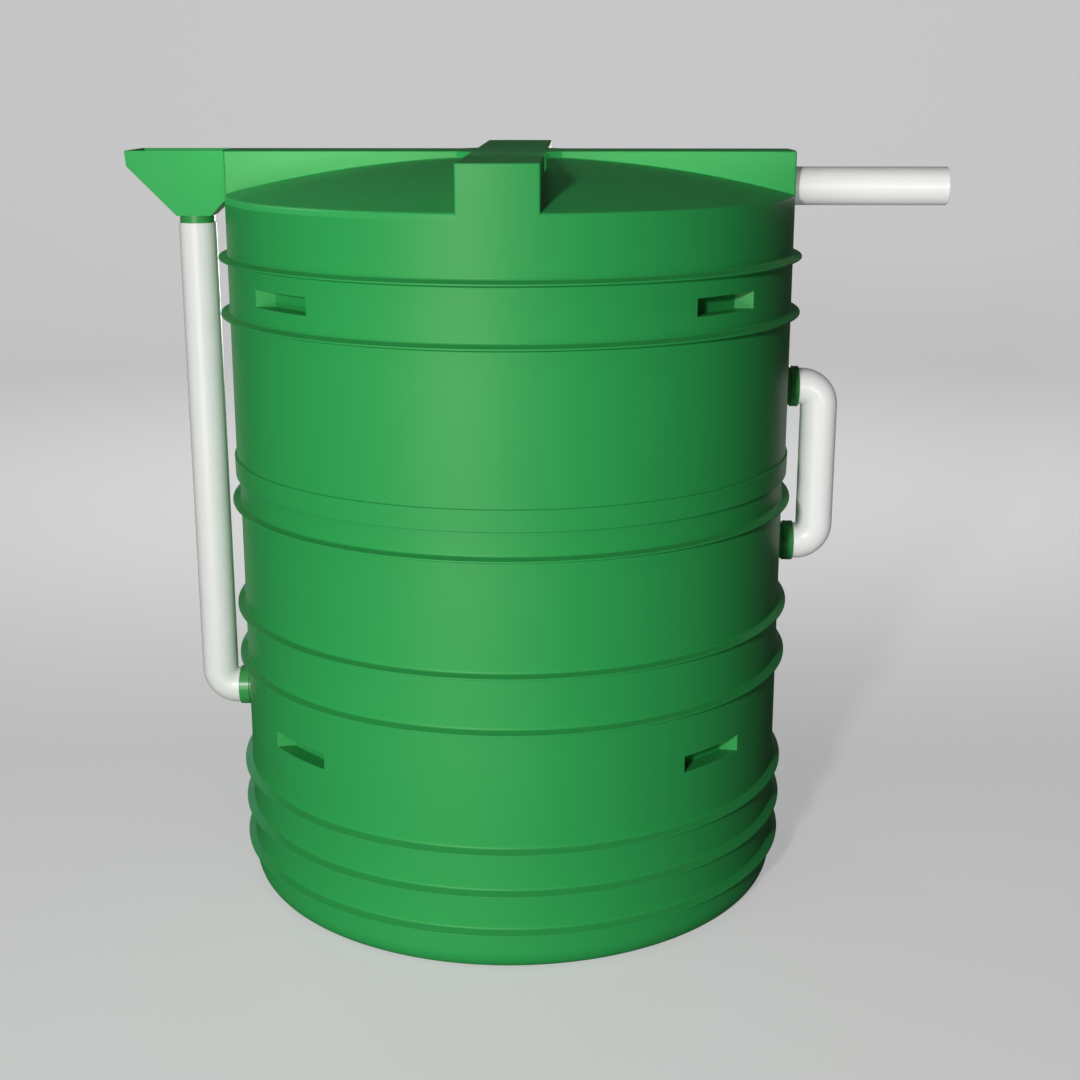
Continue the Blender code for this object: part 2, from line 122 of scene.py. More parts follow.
@dataclass(frozen=True)
class Corner:
    """A corner of a profile, and the radius that it is rounded to."""

    r: float
    z: float
    rounding: float = 0.0


def rounded(corners: Sequence[Corner], closed: bool = True, steps: int = 5) -> list[Point2]:
    """Replace each corner of a profile by an arc that is tangent to both its sides.

    Args:
        corners: The profile's corners in order.
        closed: Whether the last corner joins the first.
        steps: Number of chords in each arc.

    Returns:
        The profile's points.
    """
    points: list[Point2] = []
    count = len(corners)
    for i, corner in enumerate(corners):
        here = Vector((corner.r, corner.z))
        is_end = not closed and i in (0, count - 1)
        if corner.rounding <= 0 or is_end:
            points.append((here.x, here.y))
            continue
        before = corners[i - 1]
        after = corners[(i + 1) % count]
        back = (Vector((before.r, before.z)) - here).normalized()
        on = (Vector((after.r, after.z)) - here).normalized()
        half = back.angle(on) / 2
        reach = corner.rounding / math.tan(half)
        centre = here + (back + on).normalized() * (corner.rounding / math.sin(half))
        start = here + back * reach - centre
        turn = start.angle_signed(here + on * reach - centre)
        for step in range(steps + 1):
            arm = start.copy()
            arm.rotate(Matrix.Rotation(-turn * step / steps, 2))
            points.append((centre.x + arm.x, centre.y + arm.y))
    return points


def quarter_angles(chords: int) -> list[float]:
    """Angles in radians from 0 to a quarter turn, in a number of equal steps."""
    return [math.radians(90 * chord / chords) for chord in range(chords + 1)]


def new_object(name: str, shape: bmesh.types.BMesh) -> bpy.types.Object:
    """Turn a working mesh into an object of the scene, and free it.

    Args:
        name: The object's name.
        shape: The working mesh.

    Returns:
        The new object.
    """
    bmesh.ops.recalc_face_normals(shape, faces=shape.faces)
    mesh = bpy.data.meshes.new(name)
    shape.to_mesh(mesh)
    shape.free()
    obj = bpy.data.objects.new(name, mesh)
    bpy.context.scene.collection.objects.link(obj)
    return obj


def turned(
    name: str,
    profile: Sequence[Point2],
    steps: int,
    closed: bool = True,
    place: Matrix | None = None,
) -> bpy.types.Object:
    """Turn a profile of (radius, height) points about Z.

    Args:
        name: The object's name.
        profile: Points of the profile.
        steps: Number of steps round the axis.
        closed: Whether the profile is a loop. An open one starts and ends on the axis.
        place: Where to move the turned shape to.

    Returns:
        The new object.
    """
    shape = bmesh.new()
    verts = [shape.verts.new((r, 0.0, z)) for r, z in profile]
    edges = [shape.edges.new(pair) for pair in zip(verts, verts[1:])]
    if closed:
        edges.append(shape.edges.new((verts[-1], verts[0])))
    bmesh.ops.spin(
        shape,
        geom=[*verts, *edges],
        cent=(0, 0, 0),
        axis=(0, 0, 1),
        angle=math.tau,
        steps=steps,
        use_merge=True,
    )
    bmesh.ops.remove_doubles(shape, verts=shape.verts, dist=0.01 * MILLIMETRE)
    if place is not None:
        shape.transform(place)
    return new_object(name, shape)


def skinned(name: str, rings: Sequence[Sequence[Vector]], ends: Ends) -> bpy.types.Object:
    """Join rings of points into a skin.

    Args:
        name: The object's name.
        rings: Rings with the same number of points, in order.
        ends: How the two ends are closed.

    Returns:
        The new object.
    """
    shape = bmesh.new()
    rows = [[shape.verts.new(point) for point in ring] for ring in rings]
    pairs = list(zip(rows, rows[1:]))
    if ends is Ends.JOINED:
        pairs.append((rows[-1], rows[0]))
    count = len(rows[0])
    for row, after in pairs:
        for i in range(count):
            j = (i + 1) % count
            shape.faces.new((row[i], row[j], after[j], after[i]))
    if ends is Ends.CAPPED:
        shape.faces.new(rows[0])
    if ends is not Ends.JOINED:
        shape.faces.new(rows[-1])
    return new_object(name, shape)


def rounded_rectangle(
    centre: Point2, half_width: float, half_height: float, radius: float, runs: int = 1
) -> list[Point2]:
    """Points of a rectangle with rounded corners.

    Args:
        centre: The rectangle's centre.
        half_width: Half its extent along the first axis.
        half_height: Half its extent along the second axis.
        radius: Corner radius.
        runs: Number of pieces that each straight side is split into.

    Returns:
        The outline's points, anticlockwise.
    """
    steps = 5
    corners: list[list[Vector]] = []
    for quarter, (sx, sy) in enumerate(((1, 1), (-1, 1), (-1, -1), (1, -1))):
        middle = Vector((centre[0] + sx * (half_width - radius), centre[1] + sy * (half_height - radius)))
        angles = [math.radians(90 * (quarter + step / steps)) for step in range(steps + 1)]
        corners.append([middle + radius * Vector((math.cos(a), math.sin(a))) for a in angles])
    points: list[Point2] = []
    for corner, after in zip(corners, corners[1:] + corners[:1]):
        side = [corner[-1].lerp(after[0], run / runs) for run in range(1, runs)]
        points += [tuple(point) for point in (*corner, *side)]
    return points


def settle(obj: bpy.types.Object) -> bpy.types.Object:
    """Work an object's modifiers into its mesh for good.

    Args:
        obj: The object.

    Returns:
        The same object with its new mesh.
    """
    graph = bpy.context.evaluated_depsgraph_get()
    mesh = bpy.data.meshes.new_from_object(obj.evaluated_get(graph))
    obj.modifiers.clear()
    obj.data = mesh
    return obj


def carve(obj: bpy.types.Object, cutters: Sequence[bpy.types.Object]) -> bpy.types.Object:
    """Cut shapes out of an object for good, and remove the cutters.

    Args:
        obj: The object to cut.
        cutters: Closed shapes to take away from it.

    Returns:
        The same object with its new mesh.
    """
    for cutter in cutters:
        modifier = obj.modifiers.new(cutter.name, "BOOLEAN")
        modifier.operation = "DIFFERENCE"
        modifier.solver = "EXACT"
        modifier.object = cutter
    settle(obj)
    for cutter in cutters:
        bpy.data.objects.remove(cutter)
    return obj


def joined(name: str, pieces: Sequence[bpy.types.Object]) -> bpy.types.Object:
    """Put the meshes of several objects into one, and remove those objects.

    Args:
        name: The new object's name.
        pieces: The objects to join.

    Returns:
        The new object.
    """
    shape = bmesh.new()
    for piece in pieces:
        shape.from_mesh(piece.data)
        bpy.data.objects.remove(piece)
    return new_object(name, shape)


def shade(obj: bpy.types.Object) -> bpy.types.Object:
    """Shade an object smooth, with sharp creases kept and large faces kept flat.

    Args:
        obj: The object.

    Returns:
        The same object.
    """
    obj.data.shade_smooth()
    obj.data.set_sharp_from_angle(angle=SHARP_ANGLE)
    weighted = obj.modifiers.new("flat faces stay flat", "WEIGHTED_NORMAL")
    weighted.keep_sharp = True
    return obj


def add_node(
    tree: bpy.types.NodeTree, kind: str, inputs: Inputs | None = None, **settings: object
) -> bpy.types.Node:
    """Add a node to a tree.

    Args:
        tree: The node tree.
        kind: The node's type without its prefix, such as Bump or TexNoise.
        inputs: Values of its inputs, or sockets that feed them, by name or number.
        settings: Properties of the node.

    Returns:
        The new node.
    """
    node = tree.nodes.new("ShaderNode" + kind)
    for key, value in settings.items():
        setattr(node, key, value)
    for key, value in (inputs or {}).items():
        if isinstance(value, bpy.types.NodeSocket):
            tree.links.new(value, node.inputs[key])
        else:
            node.inputs[key].default_value = value
    return node


class GroupMaker:
    """Builds one shader node group, which takes a Position and named values."""

    def __init__(self, name: str, **inputs: object) -> None:
        """Start the group.

        Args:
            name: The group's name.
            inputs: Default number or colour of each input, by name with underscores.
        """
        self.tree = bpy.data.node_groups.new(name, "ShaderNodeTree")
        self.socket("Position", "INPUT", "Vector")
        for key, default in inputs.items():
            kind = "Float" if isinstance(default, float) else "Color"
            self.socket(key.replace("_", " "), "INPUT", kind).default_value = default
        self.source = self.tree.nodes.new("NodeGroupInput").outputs
        self.sink = self.tree.nodes.new("NodeGroupOutput")

    def socket(self, name: str, way: str, kind: str) -> bpy.types.NodeTreeInterfaceSocket:
        """Add an input or an output to the group."""
        return self.tree.interface.new_socket(name=name, in_out=way, socket_type="NodeSocket" + kind)

    def add(self, kind: str, inputs: Inputs | None = None, **settings: object) -> bpy.types.Node:
        """Add a node with its inputs and some of its properties set."""
        return add_node(self.tree, kind, inputs, **settings)

    def put_out(self, name: str, kind: str, value: bpy.types.NodeSocket) -> None:
        """Put a value out of the group under a name."""
        self.socket(name, "OUTPUT", kind)
        self.tree.links.new(value, self.sink.inputs[name])

    def noise(
        self, scale: object, detail: float, roughness: float, place: bpy.types.NodeSocket | None = None
    ) -> bpy.types.NodeSocket:
        """Add noise.

        Args:
            scale: Its scale, or the socket that gives it.
            detail: Its detail.
            roughness: Its roughness.
            place: Where it is read, or none for the group's Position.

        Returns:
            The noise.
        """
        where = self.source["Position"] if place is None else place
        inputs = {"Vector": where, "Scale": scale, "Detail": detail, "Roughness": roughness}
        return self.add("TexNoise", inputs).outputs["Fac"]

    def stretch(self, value: bpy.types.NodeSocket, low: float, high: float) -> bpy.types.NodeSocket:
        """Stretch the span of a value from low to high, so that it goes from 0 to 1."""
        return self.add("MapRange", {"Value": value, "From Min": low, "From Max": high}).outputs[0]

    def product(self, first: bpy.types.NodeSocket, second: bpy.types.NodeSocket) -> bpy.types.NodeSocket:
        """Multiply two values."""
        return self.add("Math", {0: first, 1: second}, operation="MULTIPLY").outputs[0]

    def put_out_mask(
        self, share: bpy.types.NodeSocket, scale: float, detail: float, low: float, high: float
    ) -> None:
        """Break a share up by noise, weaken it to the group's Amount and put it out as its Mask.

        Args:
            share: How much of the effect there would be without the noise.
            scale: The noise's scale.
            detail: The noise's detail.
            low: The noise up to which there is none of the effect.
            high: The noise from which there is all of it.
        """
        broken = self.stretch(self.noise(scale, detail, 0.65), low, high)
        mask = self.product(self.product(share, broken), self.source["Amount"])
        self.put_out("Mask", "Float", mask)


class SharedEffects:
    """The shader node groups that every plastic of the digester is made with."""

    def __init__(self) -> None:
        """Build each group once."""
        self.grain = self._grain()
        self.drift = self._drift()
        self.wear = self._wear()
        self.dust = self._dust()

    def _grain(self) -> bpy.types.NodeTree:
        """Fine moulded grain over long, low ripples. It puts out a height in metres and a speck.

        Returns:
            The group's node tree.
        """
        maker = GroupMaker(
            "moulded grain", Grain_Scale=260.0, Grain_Height=0.00004, Ripple_Scale=5.0, Ripple_Height=0.0004
        )
        source = maker.source
        fine = maker.noise(source["Grain Scale"], detail=2.0, roughness=0.55)
        long = maker.noise(source["Ripple Scale"], detail=1.0, roughness=0.4)
        inputs = {0: long, 1: source["Ripple Height"], 2: maker.product(fine, source["Grain Height"])}
        height = maker.add("Math", inputs, operation="MULTIPLY_ADD")
        maker.put_out("Height", "Float", height.outputs[0])
        maker.put_out("Speck", "Float", fine)
        return maker.tree

    def _drift(self) -> bpy.types.NodeTree:
        """Slow drift between two colours, with upright streaks as from rain.

        Returns:
            The group's node tree.
        """
        light, deep = (0.5, 0.5, 0.5, 1.0), (0.4, 0.4, 0.4, 1.0)
        maker = GroupMaker("colour drift", Light=light, Deep=deep, Patch_Scale=3.0, Streaks=0.3)
        source = maker.source
        patch = maker.noise(source["Patch Scale"], detail=2.0, roughness=0.5)
        squeeze = {0: source["Position"], 1: (22.0, 22.0, 0.9)}
        upright = maker.add("VectorMath", squeeze, operation="MULTIPLY").outputs[0]
        streak = maker.noise(1.0, detail=3.0, roughness=0.6, place=upright)
        both = maker.add("Mix", {0: source["Streaks"], 2: patch, 3: streak}, data_type="FLOAT")
        share = maker.stretch(both.outputs[0], 0.34, 0.66)
        blend = maker.add("Mix", {0: share, 6: source["Light"], 7: source["Deep"]}, data_type="RGBA")
        maker.put_out("Colour", "Color", blend.outputs[2])
        return maker.tree

    def _wear(self) -> bpy.types.NodeTree:
        """Mask of rubbed edges, broken up by noise.

        Returns:
            The group's node tree.
        """
        maker = GroupMaker("edge wear", Amount=0.5)
        edge = maker.add("NewGeometry").outputs["Pointiness"]
        maker.put_out_mask(maker.stretch(edge, 0.66, 0.80), scale=38.0, detail=4.0, low=0.40, high=0.62)
        return maker.tree

    def _dust(self) -> bpy.types.NodeTree:
        """Mask of the film that settles on faces that look up.

        Returns:
            The group's node tree.
        """
        maker = GroupMaker("settled dust", Amount=0.5)
        normal = maker.add("NewGeometry").outputs["Normal"]
        upward = maker.add("SeparateXYZ", {0: normal}).outputs["Z"]
        maker.put_out_mask(maker.stretch(upward, 0.35, 0.95), scale=14.0, detail=5.0, low=0.25, high=0.70)
        return maker.tree


@dataclass(frozen=True)
class Plastic:
    """A plastic finish: colours, gloss, grain, wear and dust."""

    name: str
    light: Colour
    deep: Colour
    worn: Colour
    dusty: Colour
    roughness: tuple[float, float]
    grain_scale: float
    grain_height: float
    ripple_scale: float
    ripple_height: float
    patch_scale: float
    streaks: float
    wear: float
    dust: float
    specular: float = 0.5
    gloss_tint: Colour = WHITE
    dust_dulling: float = 0.30

    def material(self, effects: SharedEffects) -> bpy.types.Material:
        """Build the finish as a material.

        Args:
            effects: The node groups that it is made with.

        Returns:
            The new material.
        """
        material = bpy.data.materials.new(self.name)
        material.use_nodes = True
        tree = material.node_tree
        shader = tree.nodes["Principled BSDF"]
        shader.inputs["Specular IOR Level"].default_value = self.specular
        shader.inputs["Specular Tint"].default_value = (*self.gloss_tint, 1.0)
        place = add_node(tree, "TexCoord").outputs["Object"]

        def effect(group: bpy.types.NodeTree, **values: object) -> bpy.types.bpy_prop_collection:
            """Place an effect in this material with its own values, and give its outputs."""
            inputs = {key.replace("_", " "): value for key, value in values.items()}
            return add_node(tree, "Group", {"Position": place, **inputs}, node_tree=group).outputs

        def layer(
            mask: bpy.types.NodeSocket, base: bpy.types.NodeSocket, colour: Colour
        ) -> bpy.types.NodeSocket:
            """Lay a colour over a base where the mask is."""
            inputs = {0: mask, 6: base, 7: (*colour, 1.0)}
            return add_node(tree, "Mix", inputs, data_type="RGBA").outputs[2]

        grain = effect(
            effects.grain,
            Grain_Scale=self.grain_scale,
            Grain_Height=self.grain_height,
            Ripple_Scale=self.ripple_scale,
            Ripple_Height=self.ripple_height,
        )
        drift = effect(
            effects.drift,
            Light=(*self.light, 1.0),
            Deep=(*self.deep, 1.0),
            Patch_Scale=self.patch_scale,
            Streaks=self.streaks,
        )
        wear = effect(effects.wear, Amount=self.wear)["Mask"]
        dust = effect(effects.dust, Amount=self.dust)["Mask"]
        rubbed = layer(wear, drift["Colour"], self.worn)
        tree.links.new(layer(dust, rubbed, self.dusty), shader.inputs["Base Color"])
        low, high = self.roughness
        gloss = add_node(tree, "MapRange", {"Value": grain["Speck"], "To Min": low, "To Max": high})
        dulled = {0: dust, 1: self.dust_dulling, 2: gloss.outputs[0]}
        roughness = add_node(tree, "Math", dulled, operation="MULTIPLY_ADD", use_clamp=True)
        tree.links.new(roughness.outputs[0], shader.inputs["Roughness"])
        bump = add_node(tree, "Bump", {"Height": grain["Height"], "Strength": 1.0, "Distance": 1.0})
        tree.links.new(bump.outputs["Normal"], shader.inputs["Normal"])
        return material


class Finishes:
    """The materials of the digester's three plastics."""

    TANK = Plastic(
        name="moulded green polyethylene",
        light=(0.029, 0.388, 0.092),
        deep=(0.027, 0.376, 0.089),
        worn=(0.100, 0.480, 0.150),
        dusty=(0.060, 0.290, 0.090),
        roughness=(0.44, 0.48),
        grain_scale=520.0,
        grain_height=0.000008,
        ripple_scale=4.5,
        ripple_height=0.0004,
        patch_scale=1.6,
        streaks=0.15,
        wear=0.30,
        dust=0.35,
        specular=0.32,
        gloss_tint=(1.0, 1.0, 0.72),
    )
    FITTING = Plastic(
        name="green pipe fitting",
        light=(0.048, 0.370, 0.085),
        deep=(0.036, 0.310, 0.068),
        worn=(0.110, 0.480, 0.160),
        dusty=(0.110, 0.280, 0.115),
        roughness=(0.26, 0.36),
        grain_scale=420.0,
        grain_height=0.00002,
        ripple_scale=18.0,
        ripple_height=0.0001,
        patch_scale=12.0,
        streaks=0.1,
        wear=0.45,
        dust=0.45,
    )
    PIPE = Plastic(
        name="white drain pipe",
        light=(0.945, 0.945, 0.940),
        deep=(0.920, 0.920, 0.915),
        worn=(0.900, 0.900, 0.890),
        dusty=(0.560, 0.555, 0.520),
        roughness=(0.28, 0.42),
        grain_scale=150.0,
        grain_height=0.00006,
        ripple_scale=16.0,
        ripple_height=0.0002,
        patch_scale=9.0,
        streaks=0.25,
        wear=0.2,
        dust=0.35,
    )

    def __init__(self) -> None:
        """Build the three materials."""
        self.pieces: dict[str, bpy.types.Object] = {}
        effects = SharedEffects()
        finishes = {Slot.TANK: self.TANK, Slot.FITTING: self.FITTING, Slot.PIPE: self.PIPE}
        self.materials = {slot: plastic.material(effects) for slot, plastic in finishes.items()}

    def dress(self, obj: bpy.types.Object, slot: Slot, *nodes: str) -> bpy.types.Object:
        """Give a piece its finish, and let it stand for nodes of the frame.

        Args:
            obj: The piece.
            slot: The material slot of its finish.
            nodes: The nodes that it replaces.

        Returns:
            The same piece.
        """
        shade(obj)
        obj.data.materials.clear()
        obj.data.materials.append(self.materials[slot])
        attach(obj, "root")
        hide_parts(*nodes)
        self.pieces.update({node: obj for node in nodes})
        LOG.info("%s: %d faces", obj.name, len(obj.data.polygons))
        return obj

    def keep(self, node: str, slot: Slot) -> None:
        """Give a node that stays as it is its finish.

        Args:
            node: The node.
            slot: The material slot of its finish.
        """
        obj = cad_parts[node]
        obj.data.materials.clear()
        obj.data.materials.append(self.materials[slot])
        LOG.info("%s kept", node)


@dataclass
class Tank:
    """The two walls, the belt over their joint and the floor."""

    finishes: Finishes
    pockets: Pockets
    steps: int = 288
    skin: float = 0.010
    rim_height: float = 2.078
    top_drop: float = 0.012
    joint_lap: float = 0.020
    foot_width: float = 0.043
    foot_height: float = 0.0585
    foot_chords: int = 12
    belt_taper: float = 0.0013
    belt_sink: float = 0.002
    belt_roundings: tuple[float, float] = (0.0022, 0.0026)
    window_ease: float = 0.0015

    def __post_init__(self) -> None:
        """Measure the walls in the frame."""
        self.belt = Span.of("lap_belt")
        self.radius = Span.of("upper_wall").high.y
        self.lower_radius = self.radius - LOWER_STEP

    def foot(self, inset: float) -> list[Point2]:
        """Points of the rounded foot, down and inwards.

        Args:
            inset: How deep they lie below its surface.

        Returns:
            The points from the wall to the floor.
        """
        centre_r = self.lower_radius - self.foot_width
        points = []
        for angle in quarter_angles(self.foot_chords):
            r = centre_r + (self.foot_width - inset) * math.cos(angle)
            z = self.foot_height - (self.foot_height - inset) * math.sin(angle)
            points.append((r, z))
        return points

    def build(self) -> None:
        """Make and dress the walls and the belt, and finish the floor."""
        outer, inner = self.radius, self.radius - self.skin
        top, bottom = self.rim_height - self.top_drop, self.belt.low.z
        self.wall("upper", [(outer, top), (outer, bottom), (inner, bottom), (inner, top)])
        outer, inner, top = self.lower_radius, self.lower_radius - self.skin, bottom + self.joint_lap
        foot = [*self.foot(0.0), *reversed(self.foot(self.skin))]
        self.wall("lower", [(outer, top), *foot, (inner, top)])
        self.finishes.dress(self.make_belt(), Slot.TANK, "lap_belt")
        self.finishes.keep("tank_floor", Slot.TANK)

    def wall(self, level: str, profile: Sequence[Point2]) -> None:
        """Turn a wall, cut its pockets' windows and dress it.

        Args:
            level: upper or lower.
            profile: The wall's closed profile.
        """
        shell = turned(f"{level}_wall_shell", profile, self.steps)
        carve(shell, self.pockets.windows(level, self.window_ease))
        self.finishes.dress(shell, Slot.TANK, f"{level}_wall")

    def make_belt(self) -> bpy.types.Object:
        """Turn the sleeve, a little thinner towards its lower edge.

        Returns:
            The new object.
        """
        outer, top, bottom = self.belt.high.y, self.belt.high.z, self.belt.low.z
        corners = [
            Corner(self.radius - self.belt_sink, top),
            Corner(outer, top, self.belt_roundings[0]),
            Corner(outer - self.belt_taper, bottom, self.belt_roundings[1]),
            Corner(self.lower_radius - self.belt_sink, bottom),
        ]
        return turned("lap_belt_sleeve", rounded(corners), self.steps)


@dataclass
class Pockets:
    """The grip pockets that are moulded into both walls, narrower at their flat backs."""

    finishes: Finishes
    azimuth: float = 46.3
    width: float = 0.232
    back_width: float = 0.176
    height: float = 0.0475
    depth: float = 0.043
    lip: float = 0.0016
    inner_rounding: float = 0.0025
    flange: float = 0.006
    proud: float = 0.00012
    corner: float = 0.0026
    lining: float = 0.004
    chords: int = 6
    runs: int = 16

    def azimuths(self) -> tuple[float, float, float, float]:
        """Directions of the pockets, in degrees from -Y towards +X."""
        return (-self.azimuth, self.azimuth, 180 - self.azimuth, 180 + self.azimuth)

    def radius(self, level: str) -> float:
        """Radius of the wall that a level of pockets is in."""
        return Span.of("upper_wall").high.y - (0.0 if level == "upper" else LOWER_STEP)

    def middle(self, level: str) -> float:
        """Height of the middle of a level's pockets."""
        return Span.of(f"grip_pocket_{level}_1").centre.z

    def turn(self, azimuth: float) -> Matrix:
        """Matrix that turns +X to a pocket's direction."""
        return Matrix.Rotation(math.radians(azimuth - 90), 4, "Z")

    def windows(self, level: str, ease: float) -> list[bpy.types.Object]:
        """Make the cutters of one level's windows.

        Args:
            level: upper or lower.
            ease: How much wider than the pocket the window is on each side.

        Returns:
            One cutter for each pocket.
        """
        cutters = []
        radius, middle = self.radius(level), self.middle(level)
        outline = rounded_rectangle(
            (0.0, middle), self.width / 2 + ease, self.height / 2 + ease, self.corner
        )
        for number, azimuth in enumerate(self.azimuths(), start=1):
            place = self.turn(azimuth)
            rings = [
                [place @ Vector((r, u, v)) for u, v in outline]
                for r in (radius - 2 * self.depth, radius + self.depth)
            ]
            cutters.append(skinned(f"window_{level}_{number}", rings, Ends.CAPPED))
        return cutters

    def ring(self, radius: float, middle: float, share: float, offset: float, sink: float) -> list[Vector]:
        """One ring of a pocket's skin, in the pocket's own frame with +X outwards.

        Args:
            radius: Radius of the wall.
            middle: Height of the pocket's middle.
            share: Share of the way from the mouth, on the wall, to the flat back.
            offset: How much wider than the pocket the ring is on each side.
            sink: How far the ring lies below its place.

        Returns:
            The ring's points.
        """
        mouth_half = self.width / 2
        half = mouth_half + (self.back_width / 2 - mouth_half) * share
        back = math.sqrt(radius**2 - mouth_half**2) - self.depth
        outline = rounded_rectangle(
            (0.0, middle),
            half + offset,
            self.height / 2 + offset,
            self.corner + max(offset, 0.0),
            self.runs,
        )
        points = []
        for u, v in outline:
            on_wall = math.sqrt((radius + self.proud) ** 2 - (u * mouth_half / half) ** 2)
            points.append(Vector((on_wall + (back - on_wall) * share - sink, u, v)))
        return points

    def rings(self, radius: float, middle: float) -> list[list[Vector]]:
        """Rings of points from the flange round the mouth to the pocket's flat back.

        Args:
            radius: Radius of the wall.
            middle: Height of the pocket's middle.

        Returns:
            Rings in the pocket's own frame.
        """
        angles = quarter_angles(self.chords)
        rings = [self.ring(radius, middle, 0.0, self.flange, 2 * self.proud)]
        for angle in angles:
            offset = self.lip * (1 - math.sin(angle))
            rings.append(self.ring(radius, middle, 0.0, offset, self.lip * (1 - math.cos(angle))))
        for angle in angles:
            offset = self.inner_rounding * (math.cos(angle) - 1)
            rise = self.inner_rounding * (1 - math.sin(angle))
            rings.append(self.ring(radius, middle, 1 - rise / self.depth, offset, 0.0))
        return rings

    def build(self) -> None:
        """Make every pocket with its rounded lip, and dress it."""
        for level in ("upper", "lower"):
            rings = self.rings(self.radius(level), self.middle(level))
            for number, azimuth in enumerate(self.azimuths(), start=1):
                place = self.turn(azimuth)
                placed = [[place @ point for point in ring] for ring in rings]
                pocket = self.liner(f"grip_recess_{level}_{number}", placed)
                self.finishes.dress(pocket, Slot.TANK, f"grip_pocket_{level}_{number}")

    def liner(self, name: str, rings: Sequence[Sequence[Vector]]) -> bpy.types.Object:
        """Join the rings into a thin-walled recess.

        Args:
            name: The piece's name.
            rings: Rings of points from the flange to the back.

        Returns:
            The new object.
        """
        obj = skinned(name, rings, Ends.OPEN_MOUTH)
        thick = obj.modifiers.new("wall", "SOLIDIFY")
        thick.thickness = self.lining
        thick.offset = -1.0
        return settle(obj)


@dataclass
class SubAssembly:
    """A sub-assembly that stands on the tank."""

    finishes: Finishes
    tank: Tank


@dataclass
class Ribs(SubAssembly):
    """The ring ribs around both walls."""

    steps: int = 288
    rim: float = 0.0046
    rounding: float = 0.0014
    root: float = 0.006
    undercut: float = 0.006
    heel: float = 0.004
    heel_rounding: float = 0.002
    flare: float = 0.0005
    feather: float = 0.0001
    sink: float = 0.002
    count: int = 8

    def build(self) -> None:
        """Turn each rib to its node's height and reach, and dress it."""
        for number in range(1, self.count + 1):
            node = f"ring_rib_{number}"
            span = Span.of(node)
            on_upper = span.low.z > self.tank.belt.high.z
            wall = self.tank.radius if on_upper else self.tank.lower_radius
            obj = turned(f"{node}_moulding", self.profile(span, wall), self.steps)
            self.finishes.dress(obj, Slot.TANK, node)

    def profile(self, span: Span, wall: float) -> list[Point2]:
        """Points of one rib, with a soft root above and a crisp rim.

        Args:
            span: The box of the rib's node.
            wall: Radius of the wall.

        Returns:
            The closed profile.
        """
        outer = span.high.y
        rim_top = span.high.z - (span.size.z - self.rim - self.undercut)
        top, bottom = span.high.z + self.root, span.low.z - self.heel
        flared, feathered, sunk = wall + self.flare, wall + self.feather, wall - self.sink
        corners = [
            Corner(sunk, top),
            Corner(feathered, top),
            Corner(flared, span.high.z, self.root),
            Corner(outer, rim_top, self.rounding),
            Corner(outer, rim_top - self.rim, self.rounding),
            Corner(flared, span.low.z, self.heel_rounding),
            Corner(feathered, bottom),
            Corner(sunk, bottom),
        ]
        return rounded(corners)


